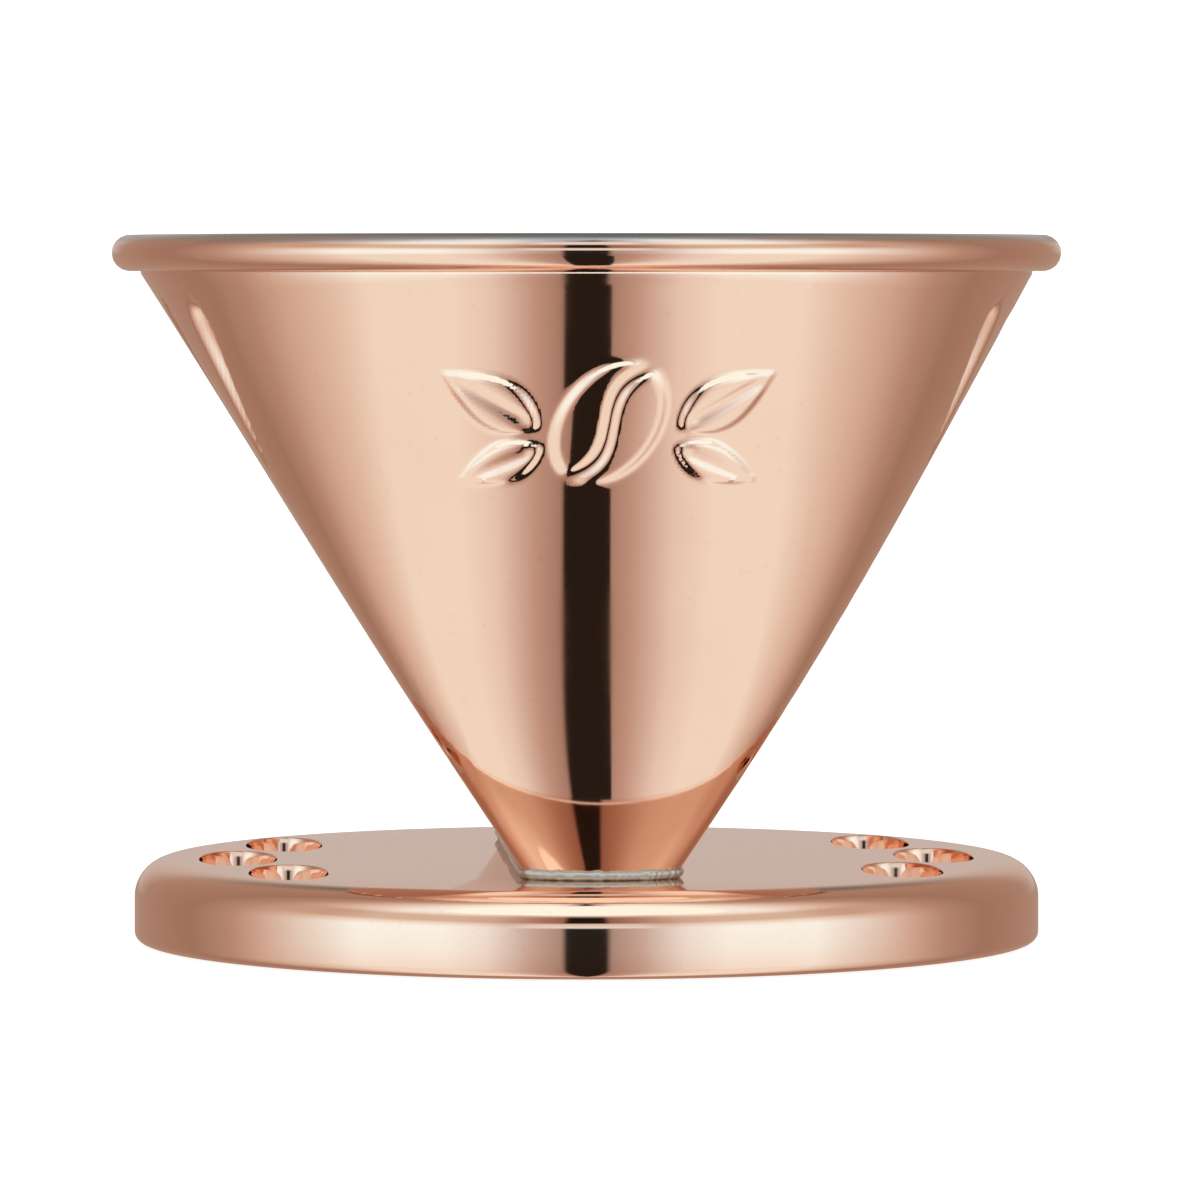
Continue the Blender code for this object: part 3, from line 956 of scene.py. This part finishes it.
def make_copper(name, direction):
    """Mirror-polished copper with fine buffing marks and faint smudges."""
    finish = bpy.context.scene.dripper_finish
    material, tree, shader = new_material(name, finish.copper, 1.0, finish.copper_roughness)
    marks, _ = marks_node(tree, direction)
    tint = math_node(tree, "MULTIPLY", marks["Smudges"], 0.16)
    tint = math_node(tree, "MULTIPLY_ADD", marks["Pits"], 0.25, tint, clamp=True)
    tree.links.new(mix_colours(tree, tint, finish.copper, finish.tarnish), shader.inputs["Base Color"])
    rough = polished_roughness(tree, marks, finish)
    rough = math_node(tree, "MULTIPLY_ADD", marks["Smudges"], 0.035, rough)
    tree.links.new(rough, shader.inputs["Roughness"])
    add_bump(tree, shader, marks["Lines"], 0.0006 * MM)
    return material


def make_tin():
    """Hand-wiped tin on the inside, worn back to copper on the outside of the rolled rim."""
    finish = bpy.context.scene.dripper_finish
    funnel = bpy.context.scene.dripper_funnel
    material, tree, shader = new_material("wiped_tin", finish.tin, 1.0, finish.tin_roughness)
    marks, parts = marks_node(tree, "around")
    bead_centre = funnel.rim_radius - funnel.bead_radius
    from_centre = math_node(tree, "SUBTRACT", radius_of(tree, parts), bead_centre)
    above = math_node(tree, "SUBTRACT", parts["Z"], funnel.rim_top - funnel.bead_radius)
    swing = math_node(tree, "ARCTAN2", above, from_centre)
    edge = math_node(tree, "MULTIPLY_ADD", marks["Smudges"], 0.10, swing)
    outside = range_node(tree, edge, radians(46), radians(30))
    beyond = range_node(tree, from_centre, -1.6 * MM, -1.2 * MM)
    copper = math_node(tree, "MULTIPLY", outside, beyond)
    dulled = math_node(tree, "MULTIPLY", marks["Smudges"], 0.5)
    wiped = mix_colours(tree, dulled, finish.tin, (0.5, 0.5, 0.49))
    tree.links.new(mix_colours(tree, copper, wiped, finish.copper), shader.inputs["Base Color"])
    tin_rough = math_node(tree, "MULTIPLY_ADD", marks["Smudges"], 0.10, finish.tin_roughness)
    rough = tree.nodes.new("ShaderNodeMix")
    tree.links.new(copper, rough.inputs[0])
    tree.links.new(tin_rough, rough.inputs[2])
    tree.links.new(polished_roughness(tree, marks, finish), rough.inputs[3])
    tree.links.new(rough.outputs[0], shader.inputs["Roughness"])
    covered = math_node(tree, "SUBTRACT", 1.0, copper)
    height = math_node(tree, "MULTIPLY", math_node(tree, "ADD", marks["Lines"], marks["Smudges"]), covered)
    add_bump(tree, shader, height, 0.003 * MM)
    return material


def make_solder():
    """Dull tin solder, frosted and a little grainy."""
    if "tin_solder" in bpy.data.materials:
        return bpy.data.materials["tin_solder"]
    finish = bpy.context.scene.dripper_finish
    material, tree, shader = new_material("tin_solder", finish.solder, 1.0, 0.34)
    marks, _ = marks_node(tree, "around")
    position, _ = centred_position(tree)
    grains = noise_node(tree, position, 2400.0, 3.0, 0.6)
    patches = noise_node(tree, position, 260.0, 2.0)
    dark = range_node(tree, patches, 0.40, 0.62)
    tree.links.new(mix_colours(tree, dark, finish.solder, (0.14, 0.16, 0.15)), shader.inputs["Base Color"])
    tree.links.new(range_node(tree, grains, 0.3, 0.7, 0.22, 0.46), shader.inputs["Roughness"])
    add_bump(tree, shader, math_node(tree, "ADD", grains, marks["Pits"]), 0.05 * MM)
    return material


def make_wire_steel():
    """Drawn steel wire with die lines along it."""
    material, tree, shader = new_material("wire_steel", (0.45, 0.45, 0.44), 1.0, 0.35)
    marks, _ = marks_node(tree, "around")
    tree.links.new(range_node(tree, marks["Lines"], 0.3, 0.7, 0.25, 0.45), shader.inputs["Roughness"])
    add_bump(tree, shader, marks["Lines"], 0.004 * MM)
    return material


# The studio


def stage_plane(name, size, height, material):
    """Flat card under or over the object, turned square to the camera."""
    stage = bpy.context.scene.dripper_stage
    clear_selection()
    spot = AXIS + Vector((0.0, 0.0, height))
    bpy.ops.mesh.primitive_plane_add(size=size, location=spot, rotation=(0.0, 0.0, stage.camera_turn))
    plane = bpy.context.object
    plane.name = name
    plane.data.materials.append(material)
    return plane


def hide_from(obj, *rays):
    for ray in rays:
        setattr(obj, "visible_" + ray, False)


def emission_material(name, shade, strength):
    """Material that only gives off light. Returns the material, its tree, its shader and its output."""
    material = bpy.data.materials.new(name)
    material.use_nodes = True
    tree = material.node_tree
    tree.nodes.clear()
    emission = tree.nodes.new("ShaderNodeEmission")
    emission.inputs["Color"].default_value = (*shade, 1.0)
    emission.inputs["Strength"].default_value = strength
    output = tree.nodes.new("ShaderNodeOutputMaterial")
    tree.links.new(emission.outputs[0], output.inputs["Surface"])
    return material, tree, emission, output


def mix_shaders(tree, share, first, second, output):
    """Send a mix of two shader nodes to an output."""
    mixed = tree.nodes.new("ShaderNodeMixShader")
    for socket, value in zip(mixed.inputs, (share, first.outputs[0], second.outputs[0])):
        tree.links.new(value, socket)
    tree.links.new(mixed.outputs[0], output.inputs["Surface"])


def make_floor():
    """White floor that shows only the object's faint contact shadow."""
    material, _, shader = new_material("white_floor", (0.40, 0.40, 0.40), 0.0, 1.0)
    shader.inputs["Specular IOR Level"].default_value = 0.0
    shader.inputs["Emission Color"].default_value = (1.0, 1.0, 1.0, 1.0)
    shader.inputs["Emission Strength"].default_value = 0.82
    floor = stage_plane("floor", 8.0, -0.2 * MM, material)
    hide_from(floor, "glossy")


CARD_DISTANCE = 0.098
CARD_SIZE = (0.125, 0.058, 1.0)


def make_front_card():
    """Small round card in front, level with the rim, that lights the base's round edge."""
    funnel = bpy.context.scene.dripper_funnel
    facing = bpy.context.scene.dripper_stage.camera_turn
    material = emission_material("front_card", (0.80, 0.98, 1.0), 1.4)[0]
    level = funnel.rim_top - funnel.bead_radius
    spot = AXIS + Vector((CARD_DISTANCE * sin(facing), -CARD_DISTANCE * cos(facing), level))
    clear_selection()
    bpy.ops.mesh.primitive_circle_add(
        vertices=96, radius=0.5, fill_type="NGON", location=spot, rotation=(0.0, 0.0, facing)
    )
    card = bpy.context.object
    card.name = "front_card"
    card.scale = CARD_SIZE
    card.data.materials.append(material)
    hide_from(card, "camera", "diffuse", "shadow", "transmission")


GAP_COLOUR = (0.02, 0.015, 0.012)
WEDGE_NEAR = 0.062
WEDGE_FAR = 0.420
WEDGE_POINT = 0.006
WEDGE_SPREAD = 0.0972
WEDGE_SHIFT = 1.8 * MM


def make_dark_gap():
    """Dark wedge on the table in front, which is the gap between the two lights in polished metal.

    It turns clear where it is met at a grazing angle.
    """
    material, tree, emission, output = emission_material("dark_gap", GAP_COLOUR, 1.0)
    wedge = stage_plane("dark_gap", 1.0, -0.1 * MM, material)
    for vertex in wedge.data.vertices:
        distance = WEDGE_NEAR if vertex.co.y > 0 else WEDGE_FAR
        half_width = WEDGE_SPREAD * (distance - WEDGE_POINT)
        side = 1 if vertex.co.x > 0 else -1
        vertex.co = Vector((WEDGE_SHIFT + side * half_width, -distance, 0.0))
    hide_from(wedge, "camera", "diffuse", "shadow", "transmission")
    facing = tree.nodes.new("ShaderNodeLayerWeight")
    share = range_node(tree, facing.outputs["Facing"], 0.58, 0.66)
    mix_shaders(tree, share, emission, tree.nodes.new("ShaderNodeBsdfTransparent"), output)


# Colours of the lights from the front round to the back, in shares of half a turn
AROUND = (
    (0.0, GAP_COLOUR),
    (0.028, GAP_COLOUR),
    (0.034, (0.40, 0.28, 0.24)),
    (0.075, (0.55, 0.42, 0.37)),
    (0.14, (0.84, 0.82, 0.80)),
    (0.20, (0.93, 0.98, 0.95)),
    (0.33, (0.93, 0.99, 0.96)),
    (0.40, (0.80, 0.75, 0.70)),
    (0.49, (0.66, 0.54, 0.48)),
    (0.57, (0.48, 0.35, 0.30)),
    (0.66, (0.37, 0.25, 0.20)),
    (0.82, (0.42, 0.29, 0.23)),
    (1.0, (0.46, 0.32, 0.25)),
)
# Where the lights close over the dark gap, in shares of the way from the horizon to the zenith
GAP_CLOSED = (
    (0.09, 0.0), (0.13, 1.0), (0.25, 1.0), (0.28, 0.0),
    (0.45, 0.0), (0.53, 1.0), (0.67, 1.0), (0.73, 0.0),
)
# How bright the front lights are, in shares of the way from the nadir to the zenith
UPRIGHT = (
    (0.0, 0.375), (0.41, 0.375), (0.49, 1.0), (0.555, 1.0),
    (0.645, 0.0), (0.72, 0.0), (0.78, 0.75), (1.0, 0.75),
)
CLOSED_GAP_COLOUR = (0.80, 0.78, 0.76)
BRIGHTEST = (1.09, 1.34, 1.52)
DIMMEST = (0.60, 0.45, 0.36)
BEHIND_LOW = (0.585, 0.495, 0.45)
BEHIND_HIGH = (0.15, 0.17, 0.16)


def studio_direction(tree):
    """Direction of a ray as its swing away from the front and its pitch above the horizon."""
    direction = tree.nodes.new("ShaderNodeTexCoord")
    turned = tree.nodes.new("ShaderNodeVectorRotate")
    turned.rotation_type = "Z_AXIS"
    turned.inputs["Angle"].default_value = -bpy.context.scene.dripper_stage.camera_turn
    tree.links.new(direction.outputs["Generated"], turned.inputs["Vector"])
    parts = tree.nodes.new("ShaderNodeSeparateXYZ")
    tree.links.new(turned.outputs[0], parts.inputs[0])
    side = math_node(tree, "ABSOLUTE", parts.outputs["X"])
    swing = math_node(tree, "ARCTAN2", side, math_node(tree, "MULTIPLY", parts.outputs["Y"], -1.0))
    return swing, math_node(tree, "ARCSINE", parts.outputs["Z"])


def studio_colour(tree, swing, pitch):
    """Colour of the light from a direction.

    Two big soft lights leave a narrow dark gap in front. The far side is warm below the horizon, where
    the object stands in its own light, and a cool grey above it.
    """
    around = ramp_node(tree, math_node(tree, "MULTIPLY", swing, 1 / pi), AROUND)
    closed = ramp_node(tree, math_node(tree, "MULTIPLY", pitch, 2 / pi), GAP_CLOSED)
    near_gap = math_node(tree, "MULTIPLY", closed, range_node(tree, swing, radians(24), radians(12)))
    around = mix_colours(tree, near_gap, around, CLOSED_GAP_COLOUR)
    front = range_node(tree, swing, radians(100), radians(70))
    upright = ramp_node(tree, math_node(tree, "MULTIPLY_ADD", pitch, 1 / pi, 0.5), UPRIGHT)
    glow = math_node(tree, "MULTIPLY", math_node(tree, "MULTIPLY_ADD", upright, 1.6, -0.6), front)
    bright = mix_colours(tree, math_node(tree, "MAXIMUM", glow, 0.0), (1.0, 1.0, 1.0), BRIGHTEST)
    dim = math_node(tree, "MULTIPLY", glow, -1.0, clamp=True)
    shade = mix_colours(tree, 1.0, around, mix_colours(tree, dim, bright, DIMMEST), "MULTIPLY")
    far_side = mix_colours(tree, range_node(tree, pitch, radians(14), radians(42)), BEHIND_LOW, BEHIND_HIGH)
    above = range_node(tree, pitch, radians(-2), radians(2))
    behind = range_node(tree, swing, radians(150), radians(170))
    return mix_colours(tree, math_node(tree, "MULTIPLY", above, behind), shade, far_side)


def make_world():
    """White behind the object and on the floor, and the studio's lights in polished metal."""
    world = bpy.data.worlds.new("studio")
    bpy.context.scene.world = world
    world.use_nodes = True
    tree = world.node_tree
    tree.nodes.clear()
    lights = tree.nodes.new("ShaderNodeBackground")
    tree.links.new(studio_colour(tree, *studio_direction(tree)), lights.inputs["Color"])
    plain = tree.nodes.new("ShaderNodeBackground")
    plain.inputs["Color"].default_value = (1.0, 1.0, 1.0, 1.0)
    plain.inputs["Strength"].default_value = 1.2
    rays = tree.nodes.new("ShaderNodeLightPath")
    flat = math_node(tree, "MAXIMUM", rays.outputs["Is Camera Ray"], rays.outputs["Is Diffuse Ray"])
    mix_shaders(tree, flat, lights, plain, tree.nodes.new("ShaderNodeOutputWorld"))


def make_camera():
    s = bpy.context.scene.dripper_stage
    data = bpy.data.cameras.new("camera")
    data.lens = s.focal_length
    data.sensor_width = 36.0
    data.clip_start = 0.01
    data.clip_end = 50.0
    camera = bpy.data.objects.new("camera", data)
    bpy.context.scene.collection.objects.link(camera)
    away = Vector((sin(s.camera_turn), -cos(s.camera_turn), 0.0)) * s.camera_distance
    camera.location = AXIS + away + Vector((0.0, 0.0, s.camera_height))
    camera.rotation_euler = (pi / 2 - s.camera_tilt, 0.0, s.camera_turn - s.camera_pan)
    bpy.context.scene.camera = camera


class DRIPPER_OT_stage(bpy.types.Operator):
    """Set the floor, the cards that the metal reflects, the surrounding light and the camera"""

    bl_idname = "dripper.stage"
    bl_label = "Studio"

    def execute(self, context):
        context.scene.view_settings.view_transform = "Standard"
        make_floor()
        make_front_card()
        make_dark_gap()
        make_world()
        make_camera()
        return {"FINISHED"}


class DRIPPER_PT_sidebar(bpy.types.Panel):
    """Buttons and sizes of the dripper"""

    bl_idname = "DRIPPER_PT_sidebar"
    bl_label = "Copper Dripper"
    bl_space_type = "VIEW_3D"
    bl_region_type = "UI"
    bl_category = "Dripper"

    def draw(self, context):
        layout = self.layout
        for operator in OPERATORS:
            layout.operator(operator.bl_idname)
        for name in GROUPS:
            box = layout.box()
            group = getattr(context.scene, name)
            for key in group.__annotations__:
                box.prop(group, key)


OPERATORS = (
    DRIPPER_OT_funnel,
    DRIPPER_OT_base,
    DRIPPER_OT_neck_solder,
    DRIPPER_OT_handle,
    DRIPPER_OT_rim_wire,
    DRIPPER_OT_stage,
)
GROUPS = {
    "dripper_funnel": FunnelSettings,
    "dripper_base": BaseSettings,
    "dripper_handle": HandleSettings,
    "dripper_finish": FinishSettings,
    "dripper_stage": StageSettings,
}
CLASSES = (*GROUPS.values(), *OPERATORS, DRIPPER_PT_sidebar)


def register():
    for cls in CLASSES:
        bpy.utils.register_class(cls)
    for name, group in GROUPS.items():
        setattr(bpy.types.Scene, name, bpy.props.PointerProperty(type=group))


def unregister():
    for name in GROUPS:
        delattr(bpy.types.Scene, name)
    for cls in reversed(CLASSES):
        bpy.utils.unregister_class(cls)


def main():
    register()
    bpy.ops.dripper.funnel()
    bpy.ops.dripper.base()
    bpy.ops.dripper.neck_solder()
    bpy.ops.dripper.handle()
    bpy.ops.dripper.rim_wire()
    bpy.ops.dripper.stage()


if __name__ == "__main__":
    main()
